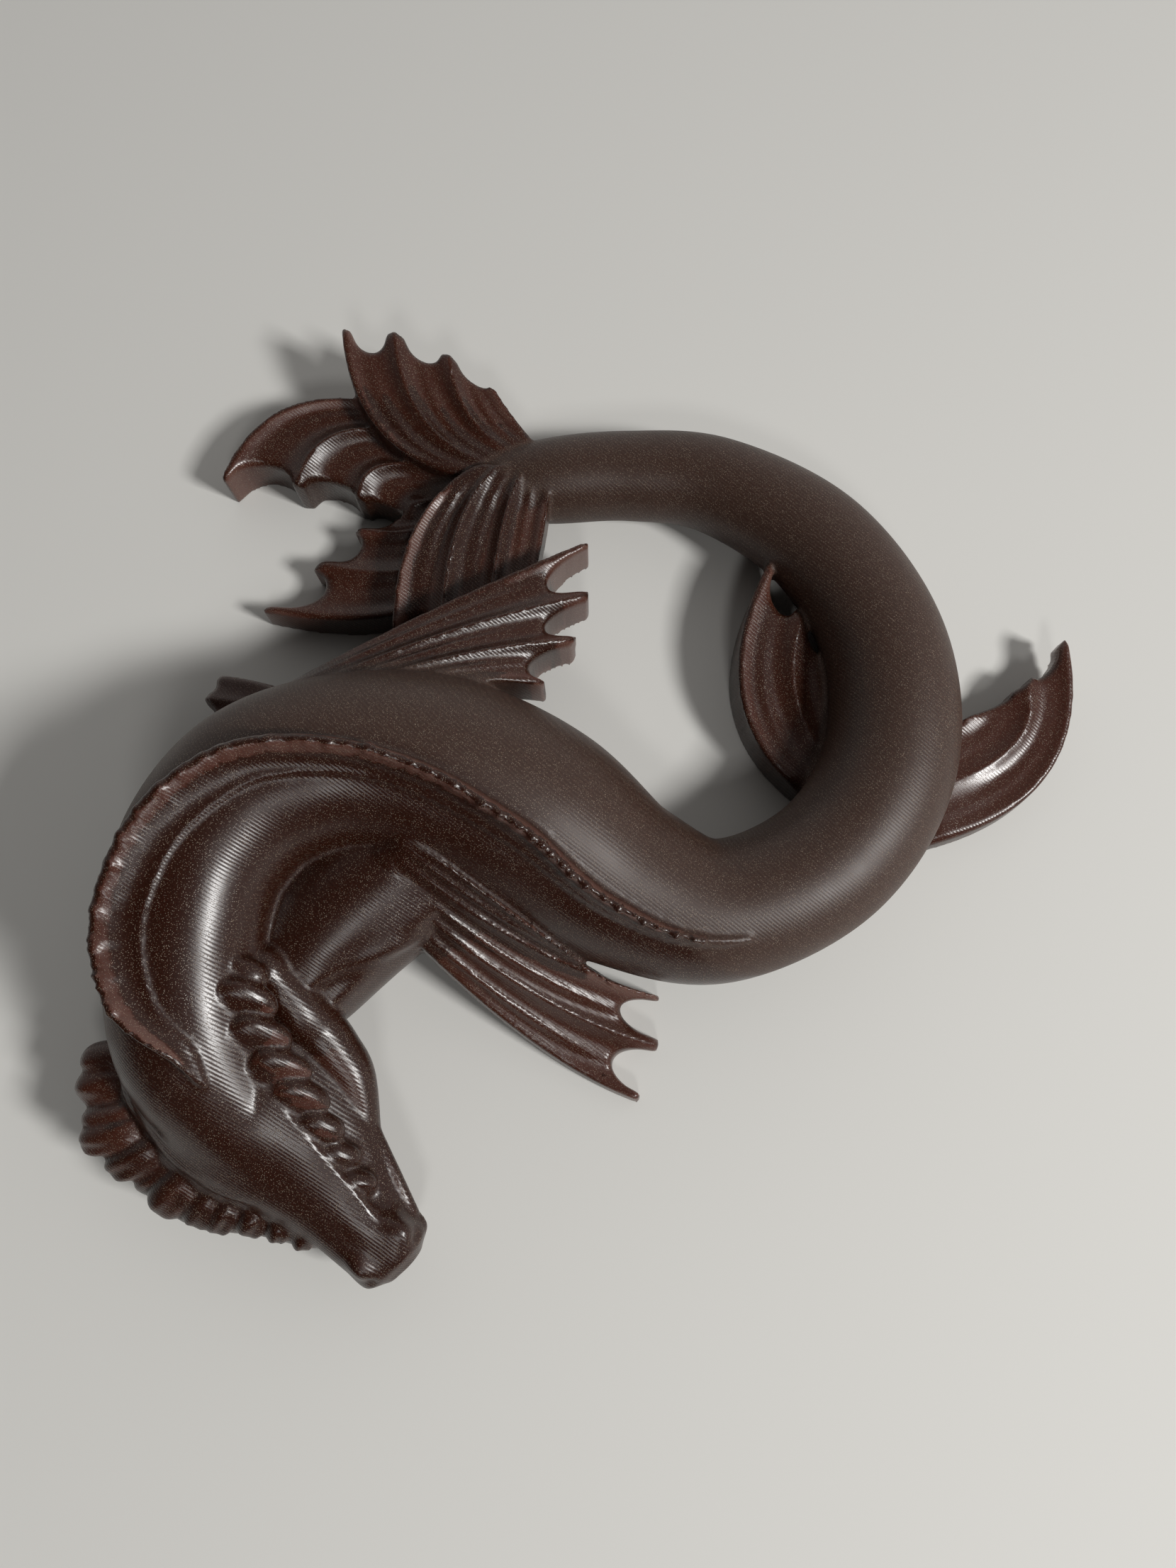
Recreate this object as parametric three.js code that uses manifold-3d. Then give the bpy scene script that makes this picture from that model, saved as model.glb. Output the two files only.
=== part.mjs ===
// Sea dragon figurine, cast in one piece: a finned serpent lying curled on a flat underside.
// Millimetres, +Z up. The origin is the middle of the figure's box, on the surface it lies on.
// The head points to -Y, the tail fans spread to -X, and the body's ring lies on the +X side.
import * as THREE from 'three';
import { mergeVertices } from 'three/addons/utils/BufferGeometryUtils.js';
import Module from 'manifold-3d';

const wasm = await Module();
wasm.setup();

// ---------------------------------------------------------------- driving dimensions
const FIGURE_CENTRE = [1.41, -0.94];   // middle of the box in the drawing's plan, moved to the origin
const FLAT_DEPTH = 20;                 // how far below the lying plane the trimming block reaches
const TRIM_SPAN = 300;                 // plan size of the trimming block

const BODY_SIDES = 16;
const BODY_STEPS = 78;
const BREAST_SIDES = 12;
const BREAST_STEPS = 10;
// Body from the tail's wrist round the ring, over the hump and down the neck into the skull:
// x, y, height of the centre line, half width, half height.
const BODY = [
  [-20.0, 33.6, 3.6, 1.6, 1.4],        // inside the tail fin's root
  [-13.5, 35.2, 4.6, 3.4, 3.4],
  [-5.0, 36.0, 4.9, 4.9, 5.2],         // wrist, where the side fans leave
  [5.0, 36.6, 5.1, 5.2, 5.4],
  [15.5, 35.0, 5.6, 5.6, 5.8],         // top of the ring
  [27.0, 27.2, 6.4, 6.4, 6.6],
  [33.8, 14.5, 7.1, 7.0, 7.2],         // right side of the ring
  [33.6, 1.0, 7.3, 7.4, 7.5],
  [26.5, -10.0, 7.4, 7.5, 7.6],
  [14.5, -15.6, 7.6, 7.8, 7.9],        // bottom of the ring
  [4.0, -12.8, 8.6, 9.2, 9.2],
  [-6.0, -6.2, 10.6, 10.8, 11.2],      // chest
  [-16.0, -1.8, 13.0, 10.6, 10.9],     // hump
  [-25.0, -1.0, 15.0, 9.5, 9.8],
  [-33.4, -3.8, 16.0, 9.2, 9.2],
  [-38.6, -9.9, 16.4, 8.7, 8.8],       // outside of the neck
  [-40.4, -17.0, 16.0, 8.2, 8.4],
  [-40.4, -24.4, 15.2, 7.9, 8.0],
  [-39.0, -30.4, 13.8, 7.8, 7.6],      // nape
  [-35.0, -36.6, 11.6, 6.4, 6.2],
  [-30.0, -42.0, 9.6, 4.0, 4.2],       // inside the skull
];

// Breast that fills the inside of the neck's bend, down to the lying plane.
const BREAST = [
  [-12.0, -5.0, 8.4, 9.0, 8.6],
  [-19.5, -9.8, 8.0, 9.2, 8.8],
  [-26.0, -15.6, 7.4, 8.6, 8.6],
  [-31.5, -22.4, 6.8, 7.4, 7.6],
  [-35.5, -28.5, 6.4, 5.4, 6.0],
];

// Crest that runs along the back, from the nape to the bottom of the ring: place along BODY's
// stations, turn from straight up towards the body's left (degrees), height.
const CREST_TOP_HALF = 0.65;           // half thickness along the free edge
const CREST_FOOT_HALF = 1.56;          // half thickness inside the back
const CREST_SINK = 1.5;                // how far the foot sits inside the back
const CREST_STEPS = 60;
const CREST = [
  [18.3, -4, 0.2],
  [17.7, 0, 1.8],
  [17.0, 24, 2.6],
  [16.2, 33, 2.8],
  [15.4, 26, 2.8],
  [14.6, 15, 2.8],
  [13.8, 5, 2.7],
  [12.8, -7, 2.5],
  [11.8, -11, 2.2],
  [10.8, -14, 2.0],
  [9.8, -22, 1.5],
  [8.9, -28, 0.3],
];

// Skull: along its own axis from the back of the cheeks to the snout, in millimetres.
const HEAD_BACK = new THREE.Vector3(-41.4, -29.6, 11.6);
const HEAD_TIP = new THREE.Vector3(-18.9, -52.2, 6.2);
const HEAD_ROLL = 20;                  // degrees, the crown leans towards the outside of the bend
const HEAD_SIDES = 18;
const HEAD_STEPS = 14;
// share of the skull's length, then its reach at the crown, brow, temple, cheek, jaw and throat
const SKULL = [
  [0.00, 3.0, 3.2, 3.6, 4.6, 5.0, 4.0],
  [0.10, 6.0, 7.4, 7.2, 9.2, 8.8, 8.0],
  [0.28, 6.6, 8.0, 7.2, 10.2, 9.6, 8.6],
  [0.48, 5.6, 6.9, 6.2, 9.2, 8.8, 7.8],
  [0.68, 4.6, 5.3, 4.9, 7.0, 7.2, 6.6],
  [0.86, 3.7, 4.3, 4.4, 4.8, 5.3, 5.4],
  [0.96, 3.2, 3.9, 4.2, 4.3, 4.6, 4.6],
  [1.00, 1.6, 2.0, 2.2, 2.4, 2.6, 2.4],
];
const SKULL_TURNS = [0, 44, 72, 104, 140, 180];

// Frill lobes down each side of the head, largest at the back: share of the skull's length, turn
// from the crown (degrees), length, half width.
const LOBE_THICK = 1.6;
const LOBE_FIRST_SHARE = 0.1;          // lobes behind this share hang from the skull's back edge
const LOBE_SINK = 1.4;                 // how far a lobe's root sits inside the skull
const LOBE_BACK_LEAN = 0.35;           // backward lean, as a share of the outward reach
const LOBE_ROOT_SHARE = 0.24;          // part of a lobe's length that lies behind its root
const LOBE_SIDES = 8;
const LOBE_BANDS = 5;
const OUTER_FRILL = [
  [-0.04, 80, 7.6, 3.0],
  [0.08, 77, 8.4, 3.0],
  [0.20, 75, 8.4, 3.0],
  [0.32, 75, 8.4, 2.8],
  [0.44, 75, 8.2, 2.8],
  [0.55, 76, 7.8, 2.6],
  [0.64, 72, 6.0, 2.4],
  [0.72, 68, 4.0, 2.0],
];
const INNER_FRILL = [
  [0.00, 76, 10.0, 2.8],
  [0.10, 71, 8.4, 2.8],
  [0.19, 66, 7.2, 2.6],
  [0.28, 63, 6.0, 2.6],
  [0.39, 62, 5.2, 2.4],
  [0.51, 61, 4.2, 2.2],
  [0.62, 60, 3.0, 1.8],
  [0.72, 62, 2.0, 1.4],
];

// Fins: each is a slab with its upper face given. root holds the two ends of its root, bend the
// middle control points of its first and last rays, tips the ends of its rays. notch is how deep
// the free edge is scooped out between the rays, thick the slab at the root and at the tips.
const FINS = [
  { name: 'near pectoral',
    root: [[-25.2, -11.6, 19.6], [-20.4, -7.6, 21.0]],
    bend: [[-8.6, -30.6, 0.6], [-9.0, -16.0, 19.6]],
    tips: [[4.9, -35.6, 3.4], [7.1, -29.8, 3.6], [7.2, -24.5, 4.6], [2.0, -23.3, 8.6]],
    notch: 0.17, thick: [6.0, 3.2], draft: 0.5 },
  { name: 'far pectoral',
    root: [[-37.0, 5.4, 14.0], [-29.0, 3.4, 19.4]],
    bend: [[-21.0, 15.4, 14.6], [-16.0, 8.2, 19.4]],
    tips: [[-0.8, 25.2, 12.2], [-0.7, 18.8, 12.0], [-2.1, 13.6, 12.4], [-5.4, 8.4, 13.0]],
    notch: 0.17, thick: [7.0, 3.6], draft: 0.2 },
  { name: 'inner pelvic',
    root: [[26.0, -3.6, 5.0], [33.0, 2.0, 5.0]],
    bend: [[11.4, 6.2, 8.2], [30.0, 8.0, 6.0]],
    tips: [[20.6, 24.0, 8.8], [24.4, 17.8, 7.8], [29.4, 11.6, 6.6]],
    notch: 0.13, thick: [5.0, 8.8], draft: 0.2 },
  { name: 'outer pelvic',
    root: [[34.6, -8.6, 3.2], [36.0, 3.6, 5.0]],
    bend: [[58.8, -4.6, 3.6], [47.0, 8.4, 4.4]],
    tips: [[55.6, 15.4, 6.2], [50.6, 10.4, 5.4], [43.0, 6.6, 4.8]],
    notch: 0.08, thick: [3.6, 3.2], draft: 0.3 },
  { name: 'tail fin, upper fork',
    root: [[-9.0, 39.0, 6.4], [-14.0, 32.6, 6.0]],
    bend: [[-36.0, 54.0, 8.8], [-22.0, 34.0, 7.0]],
    tips: [[-43.4, 36.4, 6.8], [-34.2, 35.2, 7.0], [-27.0, 33.6, 6.6], [-20.5, 30.6, 6.0]],
    notch: 0.10, thick: [6.0, 7.0], draft: 0.0 },
  { name: 'tail fin, lower fork',
    root: [[-14.0, 35.5, 6.0], [-9.0, 31.5, 6.4]],
    bend: [[-22.0, 33.5, 6.4], [-14.5, 14.5, 6.4]],
    tips: [[-21.5, 31.4, 6.0], [-26.9, 29.8, 5.8], [-31.2, 25.4, 5.6], [-37.5, 19.6, 5.2]],
    notch: 0.10, thick: [6.0, 5.4], draft: 0.1 },
  { name: 'upper side fan',
    root: [[-12.0, 34.6, 8.6], [-5.6, 38.6, 8.6]],
    bend: [[-27.5, 36.5, 9.0], [-9.5, 43.0, 9.6]],
    tips: [[-28.9, 51.8, 12.0], [-22.6, 51.2, 12.2], [-16.2, 48.8, 11.6], [-10.8, 45.2, 10.4]],
    notch: 0.08, thick: [4.2, 3.4], draft: 0.1 },
  { name: 'lower side fan',
    root: [[-11.0, 37.4, 9.2], [-4.4, 37.0, 9.6]],
    bend: [[-22.0, 31.5, 11.6], [-4.0, 32.0, 9.6]],
    tips: [[-22.2, 16.6, 9.2], [-16.4, 17.0, 9.6], [-11.0, 18.0, 9.6], [-6.6, 20.0, 9.2]],
    notch: 0.05, thick: [4.4, 3.6], draft: 0.1 },
  { name: 'hidden ventral tab',
    root: [[-33.0, 3.0, 10.0], [-33.0, 8.6, 10.0]],
    bend: [[-38.0, 4.8, 8.6], [-38.0, 10.6, 8.6]],
    tips: [[-41.8, 5.6, 7.4], [-43.4, 8.4, 7.2], [-42.0, 11.4, 7.0]],
    notch: 0.10, thick: [5.0, 4.6], draft: 0.1 },
];
const FIN_STEPS_PER_RAY = 4;
const FIN_STEPS_ALONG = 6;
const RIB_HEIGHT = 0.9;                // rise of each ray's rib over the web beside it
const RIB_FADE = 4;                    // the ribs reach full height after 1/RIB_FADE of a ray
const FIN_FLOOR = -1;                  // an underside below the lying plane stops here

// ---------------------------------------------------------------- shared helpers
const UP = new THREE.Vector3(0, 0, 1);
const rad = THREE.MathUtils.degToRad;
const clamp = THREE.MathUtils.clamp;

// A smooth run of any number of values through its rows, by the rows' own index.
function track(rows, at) {
  const last = rows.length - 1;
  const place = clamp(at, 0, last);
  const row = Math.min(Math.floor(place), last - 1);
  const f = place - row;
  const before = rows[Math.max(row - 1, 0)];
  const after = rows[Math.min(row + 2, last)];
  return rows[row].map((a, k) => {
    const b = rows[row + 1][k];
    const slopeA = (b - before[k]) / 2;
    const slopeB = (after[k] - a) / 2;
    const f2 = f * f;
    const f3 = f2 * f;
    return a * (2 * f3 - 3 * f2 + 1) + slopeA * (f3 - 2 * f2 + f)
      + b * (3 * f2 - 2 * f3) + slopeB * (f3 - f2);
  });
}

// The values of a table whose first column is where each row stands.
function profile(table, at) {
  let row = 0;
  while (row < table.length - 2 && at > table[row + 1][0]) row += 1;
  const span = table[row + 1][0] - table[row][0];
  const place = row + clamp((at - table[row][0]) / span, 0, 1);
  return track(table, place).slice(1);
}

// Moves every vertex of a closed primitive by a rule, and returns it as a solid.
function mappedSolid(geometry, rule) {
  const position = geometry.attributes.position;
  const point = new THREE.Vector3();
  for (let i = 0; i < position.count; i += 1) {
    point.fromBufferAttribute(position, i);
    const moved = rule(point);
    position.setXYZ(i, moved.x, moved.y, moved.z);
  }
  return solidOf(geometry);
}

function solidOf(geometry) {
  const bare = geometry.clone();
  bare.deleteAttribute('normal');
  bare.deleteAttribute('uv');
  const welded = mergeVertices(bare, 1e-5);
  const solid = new wasm.Manifold(new wasm.Mesh({
    numProp: 3,
    vertProperties: new Float32Array(welded.attributes.position.array),
    triVerts: new Uint32Array(welded.index.array),
  }));
  if (solid.volume() < 0) throw new Error('a primitive was mapped inside out');
  return solid;
}

function meshGeometry(solid) {
  const mesh = solid.getMesh();
  const geometry = new THREE.BufferGeometry();
  geometry.setAttribute('position', new THREE.BufferAttribute(mesh.vertProperties, 3));
  geometry.setIndex(new THREE.BufferAttribute(mesh.triVerts, 1));
  geometry.computeVertexNormals();
  return geometry;
}

// ---------------------------------------------------------------- body, neck and breast
// Centre, side and upward directions and half sizes of a limb at a place along its stations.
function section(stations, at) {
  const [x, y, z, halfWidth, halfHeight] = track(stations, at);
  const ahead = track(stations, at + 0.05);
  const behind = track(stations, at - 0.05);
  const along = new THREE.Vector3(ahead[0] - behind[0], ahead[1] - behind[1], ahead[2] - behind[2]);
  along.normalize();
  const side = new THREE.Vector3().crossVectors(along, UP).normalize();
  const up = new THREE.Vector3().crossVectors(side, along);
  return { centre: new THREE.Vector3(x, y, z), along, side, up, halfWidth, halfHeight };
}

function limb(stations, sides, steps) {
  const last = stations.length - 1;
  const tube = new THREE.CylinderGeometry(1, 1, 1, sides, steps);
  return mappedSolid(tube, (p) => {
    const s = section(stations, (p.y + 0.5) * last);
    return s.centre.clone()
      .addScaledVector(s.side, p.x * s.halfWidth)
      .addScaledVector(s.up, p.z * s.halfHeight);
  });
}

// The crest is a thin upright strip, set on the back and leaning as the body rolls.
function crest() {
  const strip = new THREE.BoxGeometry(1, 1, 1, CREST_STEPS, 1, 1);
  const last = CREST.length - 1;
  return mappedSolid(strip, (p) => {
    const [station, turn, height] = track(CREST, (0.5 - p.x) * last);
    const s = section(BODY, station);
    const lean = rad(turn);
    const out = s.side.clone().multiplyScalar(Math.sin(lean)).addScaledVector(s.up, Math.cos(lean));
    const across = new THREE.Vector3().crossVectors(out, s.along);
    const skin = 1 / Math.hypot(Math.sin(lean) / s.halfWidth, Math.cos(lean) / s.halfHeight);
    const reach = p.z > 0 ? skin + height : skin - CREST_SINK;
    const half = p.z > 0 ? CREST_TOP_HALF : CREST_FOOT_HALF;
    return s.centre.clone().addScaledVector(out, reach).addScaledVector(across, p.y * half);
  });
}

// ---------------------------------------------------------------- head
const headAlong = HEAD_TIP.clone().sub(HEAD_BACK).normalize();
const headLength = HEAD_TIP.distanceTo(HEAD_BACK);
const headLevelSide = new THREE.Vector3().crossVectors(headAlong, UP).normalize();
const headSide = headLevelSide.clone().applyAxisAngle(headAlong, rad(HEAD_ROLL));
const headUp = new THREE.Vector3().crossVectors(headSide, headAlong);

function skullReach(share, turn) {
  const reaches = profile(SKULL, share);
  const table = SKULL_TURNS.map((degrees, k) => [degrees, reaches[k]]);
  return profile(table, Math.abs(turn))[0];
}

function skullPoint(share, turn, extra) {
  const reach = skullReach(share, turn) + extra;
  const lean = rad(turn);
  return HEAD_BACK.clone()
    .addScaledVector(headAlong, share * headLength)
    .addScaledVector(headSide, Math.sin(lean) * reach)
    .addScaledVector(headUp, Math.cos(lean) * reach);
}

function skull() {
  const drum = new THREE.CylinderGeometry(1, 1, 1, HEAD_SIDES, HEAD_STEPS);
  return mappedSolid(drum, (p) => {
    const radius = Math.hypot(p.x, p.z);
    const share = p.y + 0.5;
    if (radius < 0.5) return HEAD_BACK.clone().addScaledVector(headAlong, share * headLength);
    return skullPoint(share, THREE.MathUtils.radToDeg(Math.atan2(p.x, p.z)), 0);
  });
}

// One lobe of the frill: a flattened drop that leans back and outwards. hand is +1 on the outside
// of the neck's bend and -1 on the inside.
function lobe([share, turn, length, halfWidth], hand) {
  const onSkull = Math.max(share, LOBE_FIRST_SHARE);
  const root = skullPoint(onSkull, hand * turn, -LOBE_SINK);
  root.addScaledVector(headAlong, (share - onSkull) * headLength);
  const lean = rad(turn);
  const out = headSide.clone().multiplyScalar(hand * Math.sin(lean));
  out.addScaledVector(headUp, Math.cos(lean)).addScaledVector(headAlong, -LOBE_BACK_LEAN);
  out.normalize();
  const across = new THREE.Vector3().crossVectors(out, headUp).normalize();
  const lift = new THREE.Vector3().crossVectors(across, out);
  return mappedSolid(new THREE.SphereGeometry(1, LOBE_SIDES, LOBE_BANDS), (p) => root.clone()
    .addScaledVector(out, ((p.y + 1) * 0.6 - LOBE_ROOT_SHARE) * length)
    .addScaledVector(across, p.x * halfWidth)
    .addScaledVector(lift, p.z * LOBE_THICK));
}

// ---------------------------------------------------------------- fins
const toVector = (p) => new THREE.Vector3(...p);

function fin(spec) {
  const gaps = spec.tips.length - 1;
  const rays = spec.tips.map((tip, i) => {
    const u = i / gaps;
    const root = toVector(spec.root[0]).lerp(toVector(spec.root[1]), u);
    const bend = toVector(spec.bend[0]).lerp(toVector(spec.bend[1]), u);
    return new THREE.QuadraticBezierCurve3(root, bend, toVector(tip));
  });
  const slab = new THREE.BoxGeometry(1, 1, 1, gaps * FIN_STEPS_PER_RAY, FIN_STEPS_ALONG, 1);
  const rule = (hand) => (p) => {
    const u = (p.x * hand + 0.5) * gaps;
    const ray = Math.min(Math.floor(u + 1e-6), gaps - 1);
    const f = u - ray;
    const scoop = Math.sqrt(Math.max(0, 1 - (2 * f - 1) ** 2));
    const v = (p.y + 0.5) * (1 - spec.notch * scoop);
    const place = rays[ray].getPoint(v).lerp(rays[ray + 1].getPoint(v), f);
    const rib = (Math.abs(2 * f - 1) - 1) * RIB_HEIGHT * Math.min(1, RIB_FADE * v);
    if (p.z > 0) {
      place.z += rib;
      return place;
    }
    const thick = spec.thick[0] + (spec.thick[1] - spec.thick[0]) * v;
    const middle = rays[0].getPoint(v).lerp(rays[gaps].getPoint(v), 0.5);
    const outward = place.clone().sub(middle).setZ(0).normalize();
    place.addScaledVector(outward, spec.draft * Math.abs(u / gaps - 0.5) * 2);
    place.z = Math.max(place.z - thick, FIN_FLOOR);
    return place;
  };
  const turned = rays[0].getPoint(1).sub(rays[0].getPoint(0))
    .cross(rays[gaps].getPoint(1).sub(rays[0].getPoint(0))).z;
  return mappedSolid(slab, rule(turned < 0 ? 1 : -1));
}

// ---------------------------------------------------------------- the whole casting
function figure() {
  const pieces = [
    limb(BODY, BODY_SIDES, BODY_STEPS),
    limb(BREAST, BREAST_SIDES, BREAST_STEPS),
    crest(),
    skull(),
    ...OUTER_FRILL.map((spec) => lobe(spec, 1)),
    ...INNER_FRILL.map((spec) => lobe(spec, -1)),
    ...FINS.map(fin),
  ];
  let whole = pieces[0];
  for (const piece of pieces.slice(1)) whole = whole.add(piece);
  const below = new THREE.BoxGeometry(TRIM_SPAN, TRIM_SPAN, FLAT_DEPTH);
  below.translate(0, 0, -FLAT_DEPTH / 2);
  return whole.subtract(solidOf(below));
}

const geometry = meshGeometry(figure());
geometry.translate(-FIGURE_CENTRE[0], -FIGURE_CENTRE[1], 0);

const dragon = new THREE.Mesh(geometry, new THREE.MeshStandardMaterial({
  color: 0x4a3129, roughness: 0.42, metalness: 0,
}));
dragon.name = 'sea_dragon';

const group = new THREE.Group();
group.add(dragon);

export default group;
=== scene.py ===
import math
import random
import bmesh
import bpy
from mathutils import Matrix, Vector, kdtree, noise
from mathutils.bvhtree import BVHTree


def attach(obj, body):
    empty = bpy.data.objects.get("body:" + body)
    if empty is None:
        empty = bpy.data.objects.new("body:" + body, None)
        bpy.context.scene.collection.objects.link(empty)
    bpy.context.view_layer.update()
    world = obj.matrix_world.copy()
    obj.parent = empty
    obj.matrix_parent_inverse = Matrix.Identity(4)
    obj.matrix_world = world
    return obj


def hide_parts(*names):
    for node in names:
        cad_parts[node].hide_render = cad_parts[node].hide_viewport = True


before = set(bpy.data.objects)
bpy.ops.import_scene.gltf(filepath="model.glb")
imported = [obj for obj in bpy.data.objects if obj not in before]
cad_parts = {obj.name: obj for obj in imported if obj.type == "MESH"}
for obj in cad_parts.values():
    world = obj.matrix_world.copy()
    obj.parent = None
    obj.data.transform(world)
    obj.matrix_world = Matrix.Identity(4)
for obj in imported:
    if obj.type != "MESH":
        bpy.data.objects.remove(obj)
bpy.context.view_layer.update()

# Camera: held almost straight over the figure, tipped a little so that it looks from the head's
# side towards the tail.
CAMERA_PLACE = (-0.00141, -0.02783, 0.13538)
CAMERA_TILT = math.radians(12)
CAMERA_LENS = 27.03
CAMERA_SENSOR = 36
camera = bpy.data.objects.new("camera", bpy.data.cameras.new("camera"))
camera.data.sensor_width = CAMERA_SENSOR
camera.data.lens = CAMERA_LENS
camera.data.clip_start = 0.01
camera.location = CAMERA_PLACE
camera.rotation_euler = (CAMERA_TILT, 0, 0)
bpy.context.scene.collection.objects.link(camera)
bpy.context.scene.camera = camera

# Body: a round tube that tapers from the neck to the tail's wrist. It is part of the one casting,
# which is laid out in millimetres about the drawing's own middle.
# Each station: x, y, height of the centre line, half width, half height.
DRAWING_MIDDLE = (1.41, -0.94)
BODY_SIDES = 96
BODY_RINGS = 560
BODY = [
    (-20.0, 33.6, 3.6, 1.6, 1.4), (-13.5, 35.2, 4.6, 3.4, 3.4), (-5.0, 36.0, 4.9, 4.9, 5.2),
    (5.0, 36.6, 5.1, 5.2, 5.4), (15.5, 35.0, 5.6, 5.6, 5.8), (27.0, 27.2, 6.4, 6.4, 6.6),
    (33.8, 14.5, 7.1, 7.0, 7.2), (33.6, 1.0, 7.3, 7.4, 7.5), (26.5, -10.0, 7.4, 7.5, 7.6),
    (14.5, -15.6, 7.6, 7.8, 7.9), (4.0, -12.8, 8.6, 9.2, 9.2), (-6.0, -6.2, 10.6, 10.8, 11.2),
    (-16.0, -1.8, 13.0, 10.6, 10.9), (-25.0, -1.0, 15.0, 9.5, 9.8), (-33.4, -3.8, 16.0, 9.2, 9.2),
    (-38.6, -9.9, 16.4, 8.7, 8.8), (-40.4, -17.0, 16.0, 8.2, 8.4), (-40.4, -24.4, 15.2, 7.9, 8.0),
    (-39.0, -30.4, 13.8, 7.8, 7.6), (-35.0, -36.6, 11.6, 6.4, 6.2), (-30.0, -42.0, 9.6, 4.0, 4.2),
]
UP = Vector((0, 0, 1))
TANGENT_STEP = 0.05
figure = bmesh.new()


def smooth_row(rows, at):
    """Values between a table's rows, on a smooth curve through all of them."""
    last = len(rows) - 1
    place = min(max(at, 0), last)
    row = min(int(place), last - 1)
    f = place - row
    before, a, b, after = (rows[min(max(row + k, 0), last)] for k in (-1, 0, 1, 2))
    f2, f3 = f * f, f * f * f
    return [
        q * (2 * f3 - 3 * f2 + 1) + (r - p) / 2 * (f3 - 2 * f2 + f)
        + r * (3 * f2 - 2 * f3) + (s - q) / 2 * (f3 - f2)
        for p, q, r, s in zip(before, a, b, after)
    ]


def smooth_table(table, at):
    """The same for a table whose first column says where each row stands."""
    row = 0
    while row < len(table) - 2 and at > table[row + 1][0]:
        row += 1
    span = table[row + 1][0] - table[row][0]
    share = min(max((at - table[row][0]) / span, 0), 1)
    return smooth_row(table, row + share)[1:]


def section(stations, at):
    """Centre, side and upward directions and half sizes of a limb at a place on its stations."""
    x, y, z, half_width, half_height = smooth_row(stations, at)
    ahead, behind = (Vector(smooth_row(stations, at + d)[:3])
                     for d in (TANGENT_STEP, -TANGENT_STEP))
    along = (ahead - behind).normalized()
    side = along.cross(UP).normalized()
    return Vector((x, y, z)), along, side, side.cross(along), half_width, half_height


def tube(sides, rings):
    """An upright closed tube, one unit in radius and in height, with rings along it."""
    part = bmesh.new()
    bmesh.ops.create_cone(part, cap_ends=True, cap_tris=False, segments=sides,
                          radius1=1, radius2=1, depth=1)
    upright = [e for e in part.edges if abs(e.verts[0].co.z - e.verts[1].co.z) > 0.5]
    bmesh.ops.subdivide_edges(part, edges=upright, cuts=rings)
    return part


def cast(part):
    """Presses a part flat where it would go through the surface, and adds it to the figure."""
    for v in part.verts:
        v.co.z = max(v.co.z, 0)
    bmesh.ops.recalc_face_normals(part, faces=part.faces)
    mesh = bpy.data.meshes.new("part")
    part.to_mesh(mesh)
    part.free()
    figure.from_mesh(mesh)
    bpy.data.meshes.remove(mesh)


def limb(stations, sides, rings, relief):
    """A closed tube through the stations, swollen by relief(station, degrees from the top)."""
    part = tube(sides, rings)
    sections = {}
    for v in part.verts:
        at = round((v.co.z + 0.5) * (len(stations) - 1), 6)
        if at not in sections:
            sections[at] = section(stations, at)
        centre, along, side, up, half_width, half_height = sections[at]
        swell = 1 + relief(at, math.degrees(math.atan2(v.co.x, v.co.y)))
        v.co = centre + (side * v.co.x * half_width + up * v.co.y * half_height) * swell
    cast(part)


def plain(at, turn):
    """The relief of a limb that has none."""
    return 0


limb(BODY, BODY_SIDES, BODY_RINGS, plain)

# Breast: the swelling that fills the inside of the neck's bend down to the surface. A keel runs
# along its free side, with a rolled belly edge under it.
BREAST_SIDES = 128
BREAST_RINGS = 120
BREAST = [
    (-12.0, -5.0, 8.4, 9.0, 8.6), (-19.5, -9.8, 8.9, 9.2, 9.0), (-26.0, -15.6, 8.6, 8.9, 8.9),
    (-31.5, -22.4, 7.6, 7.6, 7.8), (-35.5, -28.5, 6.4, 5.4, 6.0),
]
# The keel's turn from straight up at its front station, how far it sinks per station behind it,
# and the turn at which it is lost in the neck. Then strength, and width in degrees, of the keel,
# of the hollow above it and of the belly's roll.
KEEL_STATION, KEEL_TURN, KEEL_SINK, KEEL_LOST = 2.9, -27, 26, -56
KEEL, KEEL_HOLLOW, BELLY_ROLL = (0.045, 7), (0.09, 10), (0.05, 11)
BELLY_TURN = -52


def hump(x, middle, width):
    return math.exp(-((x - middle) / width) ** 2)


def keel(at, turn):
    """Swell of the breast: a keel that sinks towards the fin, a hollow, and the belly's roll."""
    line = KEEL_TURN - KEEL_SINK * (KEEL_STATION - at)
    open_part = min(1, max(0, (line - KEEL_LOST) / 20))
    return (KEEL[0] * hump(turn, line, KEEL[1])
            - KEEL_HOLLOW[0] * open_part * hump(turn, (line - 48) / 2, KEEL_HOLLOW[1])
            + BELLY_ROLL[0] * hump(turn, BELLY_TURN, BELLY_ROLL[1]))


limb(BREAST, BREAST_SIDES, BREAST_RINGS, keel)

# Crest: a low fleshy flap along the back, from the nape over the hump to the bottom of the ring.
# Its foot laps over the neck in a thin step, and its free edge is ruffled into uneven lumps.
# Each row: body station, turn from straight up (degrees), height, width of the flap.
CREST = [
    (18.3, -4, 0.2, 0.6), (17.7, 0, 1.8, 2.0), (17.0, 24, 2.6, 3.2), (16.2, 33, 2.8, 3.6),
    (15.4, 26, 2.8, 3.6), (14.6, 15, 2.8, 3.4), (13.8, 5, 2.7, 2.8), (12.8, -7, 2.5, 2.2),
    (11.8, -11, 2.2, 1.9), (10.8, -14, 2.0, 1.7), (9.8, -22, 1.5, 1.4), (8.9, -28, 0.3, 0.6),
]
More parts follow.
